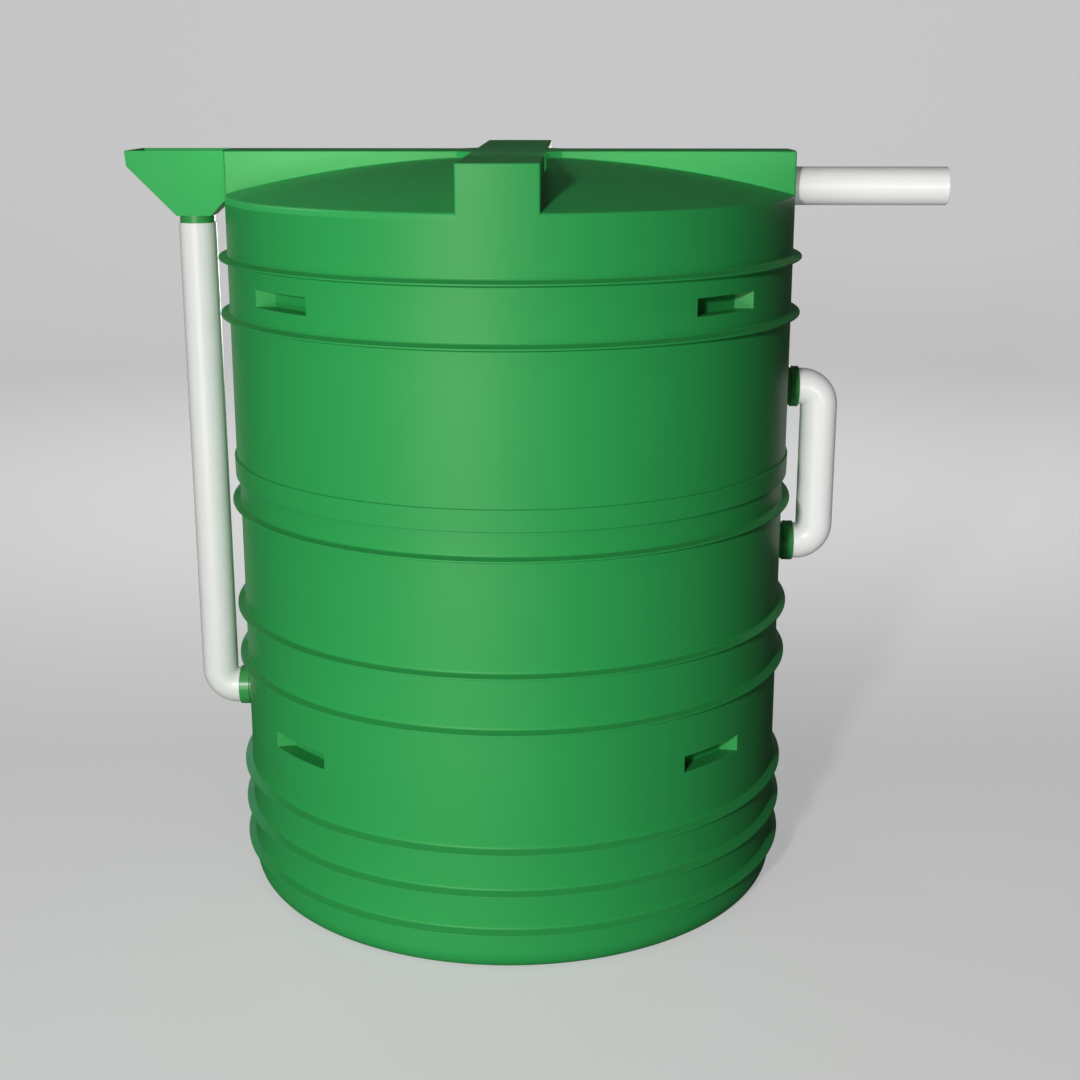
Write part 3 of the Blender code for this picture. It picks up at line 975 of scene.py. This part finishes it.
@dataclass
class Roof(SubAssembly):
    """The shallow dome and the cross ridge on it."""

    steps: int = 288
    rings: int = 24
    skin: float = 0.010
    rim_rounding: float = 0.0085
    rim_lap: float = 0.018
    proud: float = 0.0001
    ridge_half: float = 0.1065
    gusset: float = 0.045
    edge: float = 0.0045
    cove: float = 0.004
    cove_steps: int = 32
    cove_chords: int = 5
    bore_radius: float = 0.044
    bore_depth: float = 0.30
    bore_steps: int = 64
    edge_chords: int = 4
    edge_angle: float = 40.0

    def __post_init__(self) -> None:
        """Measure the roof in the frame."""
        self.crown = Span.of("roof_dome").high.z
        self.ridge = Span.of("cross_ridge")

    def build(self) -> None:
        """Make the dome and the ridge, and dress them."""
        self.finishes.dress(self.make_dome(), Slot.TANK, "roof_dome")
        coves = [self.make_cove(corner) for corner in range(4)]
        ridge = joined("cross_ridge_moulding", [self.make_ridge(), *coves])
        self.finishes.dress(ridge, Slot.TANK, "cross_ridge")

    def height(self, r: float) -> float:
        """Height of the dome's surface.

        Args:
            r: The radius at which it is wanted.

        Returns:
            The height.
        """
        rise = self.crown - self.tank.rim_height
        sphere = (self.tank.radius**2 + rise**2) / (2 * rise)
        return self.crown - sphere + math.sqrt(sphere**2 - r**2)

    def make_dome(self) -> bpy.types.Object:
        """Turn the roof with its rounded rim, which laps the top of the wall.

        Returns:
            The new object.
        """
        flat_edge = self.tank.radius - 2 * self.skin
        radii = [flat_edge * i / self.rings for i in range(self.rings)]
        cap = [(r, self.height(r)) for r in radii]
        outer = self.tank.radius + self.proud
        lap = self.tank.rim_height - self.rim_lap
        rim = rounded(
            [
                Corner(flat_edge, self.height(flat_edge)),
                Corner(outer, self.tank.rim_height, self.rim_rounding),
                Corner(outer, lap),
                Corner(outer - self.skin / 2, lap),
                Corner(flat_edge, self.height(flat_edge) - self.skin),
            ],
            closed=False,
        )
        under = [(r, z - self.skin) for r, z in reversed(cap)]
        return turned("roof_shell", [*cap, *rim, *under], self.steps, closed=False)

    def outline(self, radius: float, chords: int = 24) -> list[Point2]:
        """Points of a cross with filled inner corners, whose ends follow the wall.

        Args:
            radius: Radius of the ends.
            chords: Number of chords in each end.

        Returns:
            The outline's points, anticlockwise.
        """
        half = self.ridge_half
        spread = math.asin(half / radius)
        arm = [-spread + 2 * spread * step / chords for step in range(chords + 1)]
        quarter = [Vector((radius * math.cos(angle), radius * math.sin(angle))) for angle in arm]
        quarter += [Vector((half + self.gusset, half)), Vector((half, half + self.gusset))]
        points: list[Point2] = []
        for turn in range(4):
            rotation = Matrix.Rotation(math.radians(90 * turn), 2)
            points += [tuple(rotation @ point) for point in quarter]
        return points

    def make_ridge(self) -> bpy.types.Object:
        """Extrude the cross, round its edges and bore the outlet into it.

        Returns:
            The new object.
        """
        shape = bmesh.new()
        outline = self.outline(self.tank.radius + self.proud)
        bottom = self.tank.rim_height - self.skin
        top = [shape.verts.new((x, y, self.ridge.high.z)) for x, y in outline]
        low = [shape.verts.new((x, y, bottom)) for x, y in outline]
        shape.faces.new(top)
        shape.faces.new(list(reversed(low)))
        count = len(top)
        for i in range(count):
            j = (i + 1) % count
            shape.faces.new((top[i], low[i], low[j], top[j]))
        bmesh.ops.recalc_face_normals(shape, faces=shape.faces)
        bevelled = [
            edge
            for edge in shape.edges
            if edge.calc_face_angle(0.0) > math.radians(self.edge_angle)
            and max(v.co.z for v in edge.verts) > self.ridge.high.z - MILLIMETRE / 10
        ]
        bmesh.ops.bevel(
            shape,
            geom=bevelled,
            offset=self.edge,
            segments=self.edge_chords,
            profile=0.5,
            affect="EDGES",
        )
        ridge = new_object("ridge_body", shape)
        start = self.tank.radius + 2 * self.skin - self.bore_depth
        drill = [
            (0.0, self.bore_depth),
            (self.bore_radius, self.bore_depth),
            (self.bore_radius, 0.0),
            (0.0, 0.0),
        ]
        place = Matrix.Translation((start, 0.0, Span.of("outlet_neck").centre.z))
        place = place @ Matrix.Rotation(math.radians(90), 4, "Y")
        return carve(ridge, [turned("outlet_bore", drill, self.bore_steps, closed=False, place=place)])

    def cove_path(self) -> list[tuple[Vector, Vector]]:
        """Find the foot of the ridge round one inner corner.

        Returns:
            Points along it, each with its outward way.
        """
        half = self.ridge_half
        end = math.sqrt((self.tank.radius - self.skin) ** 2 - half**2)
        turns = [
            Vector((end, half)),
            Vector((half + self.gusset, half)),
            Vector((half, half + self.gusset)),
            Vector((half, end)),
        ]
        ways = [Vector((0.0, 1.0)), Vector((1.0, 1.0)).normalized(), Vector((1.0, 0.0))]
        path: list[tuple[Vector, Vector]] = []
        for start, stop, way in zip(turns, turns[1:], ways):
            steps = [start.lerp(stop, step / self.cove_steps) for step in range(self.cove_steps)]
            path += [(point, way) for point in steps]
        path.append((turns[-1], ways[-1]))
        for i in (self.cove_steps, 2 * self.cove_steps):
            before, after = path[i - 1][1], path[i][1]
            path[i] = (path[i][0], (before + after) / (1 + before.dot(after)))
        return path

    def make_cove(self, corner: int) -> bpy.types.Object:
        """Loft the hollow fillet between the ridge's sides and the dome at an inner corner.

        Args:
            corner: Which of the four inner corners.

        Returns:
            The new object.
        """
        place = Matrix.Rotation(math.radians(90 * corner), 4, "Z")
        sunk = self.cove / 2
        sections = []
        for point, way in self.cove_path():
            fade = min((self.tank.radius - self.skin - point.length) / (2 * self.skin), 1.0)
            size = self.cove * max(fade, 0.0) + self.proud
            steps: list[Point2] = [(-sunk, size)]
            for angle in quarter_angles(self.cove_chords):
                steps.append((size * (1 - math.cos(angle)), size * (1 - math.sin(angle))))
            steps += [(size, -sunk), (-sunk, -sunk)]
            section = []
            for out, rise in steps:
                spot = point + way * out
                section.append(place @ Vector((*spot, self.height(spot.length) + rise)))
            sections.append(section)
        return skinned(f"ridge_cove_{corner}", sections, Ends.CAPPED)


@dataclass
class Hopper(SubAssembly):
    """The open feed hopper against the ridge's end, and the neck under it."""

    wall: float = 0.007
    corner: float = 0.0020
    throat_half: float = 0.0505
    left_rise: float = 0.1439
    right_slope: float = 0.965
    tank_lap: float = 0.010
    seat_gap: float = 0.0005
    soften: float = 0.003
    rim_rounding: float = 0.0016
    rim_chords: int = 4
    neck_bore: float = 0.044
    neck_lap: float = 0.001
    neck_rounding: float = 0.001
    neck_steps: int = 96

    def build(self) -> None:
        """Make the hopper and its neck, and dress them."""
        self.finishes.dress(self.make_funnel(), Slot.TANK, "hopper")
        self.finishes.dress(self.make_neck(), Slot.FITTING, "hopper_neck")

    def sections(self, right: float) -> list[tuple[float, float, float, float]]:
        """Work out the hopper's levels from throat to rim.

        Args:
            right: Where its upright right side is.

        Returns:
            Left side, right side, half depth and height of each level.
        """
        span = Span.of("hopper")
        axis = Span.of("inlet_pipe_upper").centre.x
        top, throat = span.high.z, span.low.z
        left, half_depth = span.low.x, span.high.y
        throat_left, throat_right = axis - self.throat_half, axis + self.throat_half
        left_knee = throat + self.left_rise
        right_knee = throat + self.right_slope * (right - throat_right)

        def depth(z: float) -> float:
            """Half depth at a height."""
            share = (z - throat) / (top - throat)
            return self.throat_half + (half_depth - self.throat_half) * share

        def left_at(z: float) -> float:
            """Left side at a height."""
            share = min((z - throat) / (left_knee - throat), 1.0)
            return throat_left + (left - throat_left) * share

        def right_at(z: float) -> float:
            """Right side at a height."""
            share = min((z - throat) / (right_knee - throat), 1.0)
            return throat_right + (right - throat_right) * share

        soft = self.soften
        heights = [throat, right_knee - soft, right_knee, right_knee + soft]
        heights += [left_knee - soft, left_knee, left_knee + soft, top]
        rows = [[left_at(z), right_at(z), depth(z), z] for z in heights]
        for i in (2, 5):
            for side in (0, 1):
                before, after = rows[i - 1][side], rows[i + 1][side]
                rows[i][side] = (rows[i][side] + (before + after) / 2) / 2
        return [tuple(row) for row in rows]

    def ring(self, section: tuple[float, float, float, float], inset: float) -> list[Vector]:
        """One ring of the hopper's skin.

        Args:
            section: Left side, right side, half depth and height of the level.
            inset: How far the ring lies inside the outer face.

        Returns:
            The ring's points.
        """
        left, right, half, z = section
        middle, half_width = (left + right) / 2, (right - left) / 2
        outline = rounded_rectangle((middle, 0.0), half_width - inset, half - inset, self.corner)
        return [Vector((x, y, z)) for x, y in outline]

    def rim_steps(self) -> list[tuple[float, float]]:
        """Work out the rings over the rounded rim.

        Returns:
            Share of the wall's thickness and drop of each ring.
        """
        angles = quarter_angles(self.rim_chords)
        share = self.rim_rounding / self.wall
        rise = [(share * (1 - math.cos(a)), self.rim_rounding * (1 - math.sin(a))) for a in angles]
        return rise + [(1 - across, drop) for across, drop in reversed(rise)]

    def make_funnel(self) -> bpy.types.Object:
        """Loft the outer face, the rim and the inner face as one skin, cut to the tank's curve.

        Returns:
            The new object.
        """
        outer = self.sections(self.tank_lap - self.tank.radius)
        inner = self.sections(-self.tank.radius - self.seat_gap)
        rings = [self.ring(section, 0.0) for section in outer[:-1]]
        outer_rim, inner_rim = self.ring(outer[-1], 0.0), self.ring(inner[-1], self.wall)
        for share, drop in self.rim_steps():
            down = Vector((0.0, 0.0, drop))
            rings.append([start.lerp(stop, share) - down for start, stop in zip(outer_rim, inner_rim)])
        rings += [self.ring(section, self.wall) for section in reversed(inner[:-1])]
        funnel = skinned("hopper_funnel", rings, Ends.JOINED)
        seat_radius = self.tank.radius + self.seat_gap
        seat_low, seat_high = outer[0][3] - self.wall, outer[-1][3] + self.wall
        profile = [(0.0, seat_high), (seat_radius, seat_high), (seat_radius, seat_low), (0.0, seat_low)]
        return carve(funnel, [turned("hopper_seat", profile, self.tank.steps, closed=False)])

    def make_neck(self) -> bpy.types.Object:
        """Turn the short neck between the hopper and the pipe.

        Returns:
            The new object.
        """
        span = Span.of("hopper_neck")
        outer, bore = span.size.x / 2, self.neck_bore
        top, bottom = span.high.z + self.neck_lap, span.low.z
        corners = [
            Corner(bore, top),
            Corner(outer, top),
            Corner(outer, bottom, self.neck_rounding),
            Corner(bore, bottom, self.neck_rounding),
        ]
        place = Matrix.Translation((span.centre.x, 0.0, 0.0))
        return turned("hopper_spigot", rounded(corners), self.neck_steps, place=place)


@dataclass
class PipeWork(SubAssembly):
    """The white pipes, their bends and the green collars."""

    sides: int = 96
    bend_steps: int = 24
    wall: float = 0.0038
    end_rounding: float = 0.0016
    spout_rounding: float = 0.0022
    mouth_rounding: float = 0.001
    bend_slack: float = 0.0005
    port_radius: float = 0.044
    neck_radius: float = 0.056
    neck_length: float = 0.010
    lap: float = 0.008
    seam: float = 0.0003

    def along_x(self, x: float, z: float, side: Side) -> Matrix:
        """Matrix that lays a turned shape along X, outwards from the tank."""
        turn = Matrix.Rotation(math.radians(90 * side.value), 4, "Y")
        return Matrix.Translation((x, 0.0, z)) @ turn

    def tube(
        self, name: str, radius: float, bore: float, length: float, ends: tuple[float, float], place: Matrix
    ) -> bpy.types.Object:
        """Turn a tube from height zero up its own axis.

        Args:
            name: The piece's name.
            radius: Outer radius.
            bore: Bore radius.
            length: Length along its axis.
            ends: Rounding of the outer edge at its start and at its end.
            place: Where to move it to.

        Returns:
            The new object.
        """
        corners = [
            Corner(radius, 0.0, ends[0]),
            Corner(radius, length, ends[1]),
            Corner(bore, length, min(ends[1], self.wall / 4)),
            Corner(bore, 0.0),
        ]
        return turned(name, rounded(corners), self.sides, place=place)

    def bend(self, name: str, span: Span, side: Side, is_top: bool) -> bpy.types.Object:
        """Sweep a hollow quarter bend with a short straight end, inside its node's box.

        Args:
            name: The piece's name.
            span: The box of the bend's node.
            side: Side of the tank that it is on.
            is_top: Whether the upright leg goes down from it.

        Returns:
            The new object.
        """
        radius = span.size.y / 2
        bend_radius = radius + self.bend_slack
        near, far = sorted((abs(span.low.x), abs(span.high.x)))
        bend_start = far - radius - bend_radius
        upright_z = span.low.z if is_top else span.high.z
        centre = Vector((side.value * bend_start, 0.0, upright_z))
        out = Vector((side.value, 0.0, 0.0))
        away = Vector((0.0, 0.0, 1.0 if is_top else -1.0))
        across = Vector((0.0, 1.0, 0.0))

        def ring(angle: float, r: float, lead: float = 0.0) -> list[Vector]:
            """One ring of the bend.

            Args:
                angle: Its angle from the level end.
                r: Its radius.
                lead: How far it lies before the bend's start.

            Returns:
                The ring's points.
            """
            arm = away * math.cos(angle) + out * math.sin(angle)
            middle = centre + arm * bend_radius - out * lead
            turns = [math.tau * i / self.sides for i in range(self.sides)]
            return [middle + (arm * math.cos(t) + across * math.sin(t)) * r for t in turns]

        angles = quarter_angles(self.bend_steps)
        bore = radius - self.wall
        rings = [ring(0.0, radius, bend_start - near), *(ring(angle, radius) for angle in angles)]
        rings += [*(ring(angle, bore) for angle in reversed(angles)), ring(0.0, bore, bend_start - near)]
        return skinned(name, rings, Ends.JOINED)

    def collar(self, name: str, node: str, wall_radius: float, side: Side) -> bpy.types.Object:
        """Turn a collar: a ring round the pipe's end and a narrower neck into the wall.

        Args:
            name: The piece's name.
            node: The collar's node.
            wall_radius: Radius of the wall that it stands on.
            side: Side of the tank.

        Returns:
            The new object.
        """
        span = Span.of(node)
        ring_radius = span.size.y / 2
        root = wall_radius - self.lap
        far = max(abs(span.low.x), abs(span.high.x))
        length = far - root
        ring_start = self.lap + self.neck_length
        corners = [
            Corner(self.port_radius, 0.0),
            Corner(self.neck_radius, 0.0),
            Corner(self.neck_radius, ring_start, self.mouth_rounding),
            Corner(ring_radius, ring_start, self.end_rounding),
            Corner(ring_radius, length, self.end_rounding),
            Corner(self.port_radius, length, self.mouth_rounding),
        ]
        place = self.along_x(side.value * root, span.centre.z, side)
        return turned(name, rounded(corners), self.sides, place=place)

    def build(self) -> None:
        """Make the inlet run, the outlet and the side loop."""
        lengths = [f"inlet_pipe_{part}" for part in ("lower", "middle", "upper")]
        self.upright("inlet_downpipe", lengths, self.end_rounding)
        self.upright("loop_upright", ["loop_pipe"], 0.0)
        bends = (
            ("inlet_elbow", Side.LEFT, False),
            ("loop_upper_elbow", Side.RIGHT, True),
            ("loop_lower_elbow", Side.RIGHT, False),
        )
        for node, side, is_top in bends:
            piece = self.bend(node + "_sweep", Span.of(node), side, is_top)
            self.finishes.dress(piece, Slot.PIPE, node)
        collars = (
            ("inlet_collar", self.tank.lower_radius, Side.LEFT),
            ("loop_upper_collar", self.tank.radius, Side.RIGHT),
            ("loop_lower_collar", self.tank.lower_radius, Side.RIGHT),
        )
        for node, wall_radius, side in collars:
            piece = self.collar(node + "_ring", node, wall_radius, side)
            self.finishes.dress(piece, Slot.FITTING, node)
        self.outlet()

    def upright(self, name: str, nodes: Sequence[str], top_rounding: float) -> None:
        """Make an upright pipe, closed up to the bends that it meets.

        Args:
            name: The piece's name.
            nodes: The lengths of pipe that it stands for.
            top_rounding: Rounding of its upper outer edge.
        """
        span = Span.of(*nodes)
        top = span.high.z + (0.0 if top_rounding else self.seam)
        bottom = span.low.z - self.seam
        radius = span.size.x / 2
        place = Matrix.Translation((span.centre.x, 0.0, bottom))
        piece = self.tube(name, radius, radius - self.wall, top - bottom, (0.0, top_rounding), place)
        self.finishes.dress(piece, Slot.PIPE, *nodes)

    def outlet(self) -> None:
        """Make the open pipe against the ridge's end, and the spigot inside it."""
        pipe, neck = Span.of("outlet_pipe"), Span.of("outlet_neck")
        place = self.along_x(pipe.low.x, pipe.centre.z, Side.RIGHT)
        radius, neck_radius = pipe.size.y / 2, neck.size.y / 2
        ends = (0.0, self.spout_rounding)
        spout = self.tube("outlet_spout", radius, radius - self.wall, pipe.size.x, ends, place)
        self.finishes.dress(spout, Slot.PIPE, "outlet_pipe")
        length = neck.high.x - pipe.low.x
        ends = (0.0, self.mouth_rounding)
        spigot = self.tube("outlet_spigot", neck_radius, self.port_radius, length, ends, place)
        self.finishes.dress(spigot, Slot.FITTING, "outlet_neck")


@dataclass(frozen=True)
class SoftBox:
    """A soft rectangular light, which looks at the tank's middle unless it is aimed elsewhere.

    It stands at a direction in degrees from -Y towards +X, a distance from the axis and a height.
    """

    name: str
    at: tuple[float, float, float]
    size: tuple[float, float]
    power: float
    tint: Colour = WHITE
    aim: tuple[float, float, float] = (0.0, 0.0, 1.1)
    spread: float = 180.0

    def place(self, only: Sequence[bpy.types.Object] = ()) -> None:
        """Put the light in the scene.

        Args:
            only: The pieces that it lights, or none where it lights everything.
        """
        data = bpy.data.lights.new(self.name, "AREA")
        data.shape = "RECTANGLE"
        data.size, data.size_y = self.size
        data.energy = self.power
        data.color = self.tint
        data.spread = math.radians(self.spread)
        lamp = bpy.data.objects.new(self.name, data)
        azimuth, reach, height = self.at
        angle = math.radians(azimuth)
        lamp.location = (reach * math.sin(angle), -reach * math.cos(angle), height)
        way = Vector(self.aim) - lamp.location
        lamp.rotation_euler = way.to_track_quat("-Z", "Y").to_euler()
        lamp.visible_camera = False
        bpy.context.scene.collection.objects.link(lamp)
        if only:
            lit = bpy.data.collections.new(self.name + " lights")
            for obj in only:
                lit.objects.link(obj)
            lamp.light_linking.receiver_collection = lit


@dataclass
class Studio:
    """The pale floor that sweeps up all round, the lights and the camera."""

    pieces: dict[str, bpy.types.Object]
    unit: float = 0.825
    camera_ratio: tuple[float, float, float] = (0.2480, -6.1194, 2.9048)
    camera_tilt: float = 74.791
    camera_turn: float = 1.3466
    lens: float = 56.45
    sensor: float = 36.0
    floor_reach: float = 10.0
    sweep: float = 4.0
    wall_top: float = 9.0
    floor_steps: int = 96
    sweep_chords: int = 16
    floor_roughness: float = 0.85
    floor_specular: float = 0.1
    floor_tone: float = 0.50
    floor_glow: float = 0.38
    bounce_tone: float = 0.25
    world_tone: float = 0.06

    def build(self) -> None:
        """Make the floor, the lights, the world and the camera."""
        bpy.context.scene.view_settings.view_transform = "Standard"
        self.make_floor()
        self.make_lights()
        self.make_piece_lights()
        self.make_world()
        self.make_camera()

    def make_floor(self) -> None:
        """Turn the floor and its sweep as one pale sheet."""
        points = [(0.0, 0.0), (self.floor_reach, 0.0)]
        for angle in quarter_angles(self.sweep_chords)[1:]:
            r = self.floor_reach + self.sweep * math.sin(angle)
            points.append((r, self.sweep * (1 - math.cos(angle))))
        points.append((self.floor_reach + self.sweep, self.wall_top))
        floor = turned("studio_floor", points, self.floor_steps, closed=False)
        floor.data.shade_smooth()
        material = bpy.data.materials.new("pale studio floor")
        material.use_nodes = True
        tree = material.node_tree
        shader = tree.nodes["Principled BSDF"]
        shader.inputs["Roughness"].default_value = self.floor_roughness
        shader.inputs["Specular IOR Level"].default_value = self.floor_specular
        shader.inputs["Emission Strength"].default_value = self.floor_glow
        seen = add_node(tree, "LightPath").outputs["Is Camera Ray"]
        tones = {"Value": seen, "To Min": self.bounce_tone, "To Max": self.floor_tone}
        tone = add_node(tree, "MapRange", tones)
        tree.links.new(tone.outputs[0], shader.inputs["Base Color"])
        tree.links.new(seen, shader.inputs["Emission Color"])
        floor.data.materials.append(material)

    def make_lights(self) -> None:
        """Place the key, the sky light, the light on the left edge and the backdrop's lamp."""
        SoftBox("key", at=(-14.0, 9.0, 3.6), size=(0.6, 0.6), power=425.0, tint=WARM_WHITE).place()
        SoftBox("sky", at=(-20.0, 3.0, 6.0), size=(3.0, 3.0), power=22.0).place()
        SoftBox(
            "left edge", at=(-147.0, 8.0, 2.6), size=(0.6, 2.6), power=2.2, tint=EDGE_BLUE, spread=30.0
        ).place()
        behind = (0.0, self.floor_reach + self.sweep, 1.0)
        SoftBox("backdrop", at=(180.0, 3.0, 5.5), size=(7.0, 2.0), power=320.0, aim=behind).place()

    def make_piece_lights(self) -> None:
        """Place the fills that light the digester alone, or some of its pieces, and not the floor."""
        digester = list({obj.name: obj for obj in self.pieces.values()}.values())
        front = SoftBox("front fill", at=(-20.0, 7.0, 0.5), size=(3.0, 0.6), power=75.0, tint=WARM_WHITE)
        front.place(digester)
        card = SoftBox("low card", at=(-10.0, 3.3, 0.06), size=(2.4, 1.4), power=18.0, tint=CARD_CREAM)
        card.place(digester)
        SoftBox("rear fill", at=(176.0, 9.0, 1.2), size=(2.0, 2.0), power=190.0).place(digester)
        for name, side in (("left arm fill", Side.LEFT), ("right arm fill", Side.RIGHT)):
            at = (side.value * 51.3, 0.640, 2.245)
            strip = SoftBox(name, at, size=(0.7, 0.09), power=0.85, aim=(side.value * 0.5, 0.0, 2.16))
            strip.place([self.pieces["cross_ridge"], self.pieces["hopper"]])
        hopper, dome = self.pieces["hopper"], self.pieces["roof_dome"]
        SoftBox("hopper fill", at=(-20.0, 7.0, 1.2), size=(1.0, 1.0), power=90.0).place([hopper])
        SoftBox("dome fill", at=(-80.0, 3.5, 3.3), size=(1.0, 1.0), power=32.0).place([dome])
        names = ("outlet_pipe", "loop_pipe", "loop_upper_elbow", "loop_lower_elbow")
        pipes = [self.pieces[name] for name in names]
        SoftBox("pipe fill", at=(25.0, 9.0, 2.0), size=(1.0, 1.0), power=205.0).place(pipes)

    def make_world(self) -> None:
        """Set a plain pale world."""
        world = bpy.data.worlds.new("studio air")
        world.use_nodes = True
        back = world.node_tree.nodes["Background"]
        back.inputs["Color"].default_value = (1.0, 1.0, 1.0, 1.0)
        back.inputs["Strength"].default_value = self.world_tone
        bpy.context.scene.world = world

    def make_camera(self) -> None:
        """Set the camera at the photograph's place, in tank radii from the base's middle."""
        data = bpy.data.cameras.new("view")
        data.lens = self.lens
        data.sensor_width = self.sensor
        camera = bpy.data.objects.new("view", data)
        camera.location = [value * self.unit for value in self.camera_ratio]
        camera.rotation_euler = (math.radians(self.camera_tilt), 0.0, math.radians(self.camera_turn))
        bpy.context.scene.collection.objects.link(camera)
        bpy.context.scene.camera = camera


def main() -> None:
    """Build every sub-assembly around the frame."""
    logging.basicConfig(level=logging.INFO, format="%(name)s: %(message)s")
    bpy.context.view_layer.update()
    finishes = Finishes()
    pockets = Pockets(finishes)
    tank = Tank(finishes, pockets)
    tank.build()
    pockets.build()
    for sub_assembly in (Ribs, Roof, Hopper, PipeWork):
        sub_assembly(finishes, tank).build()
    Studio(finishes.pieces).build()


if __name__ == "__main__":
    main()
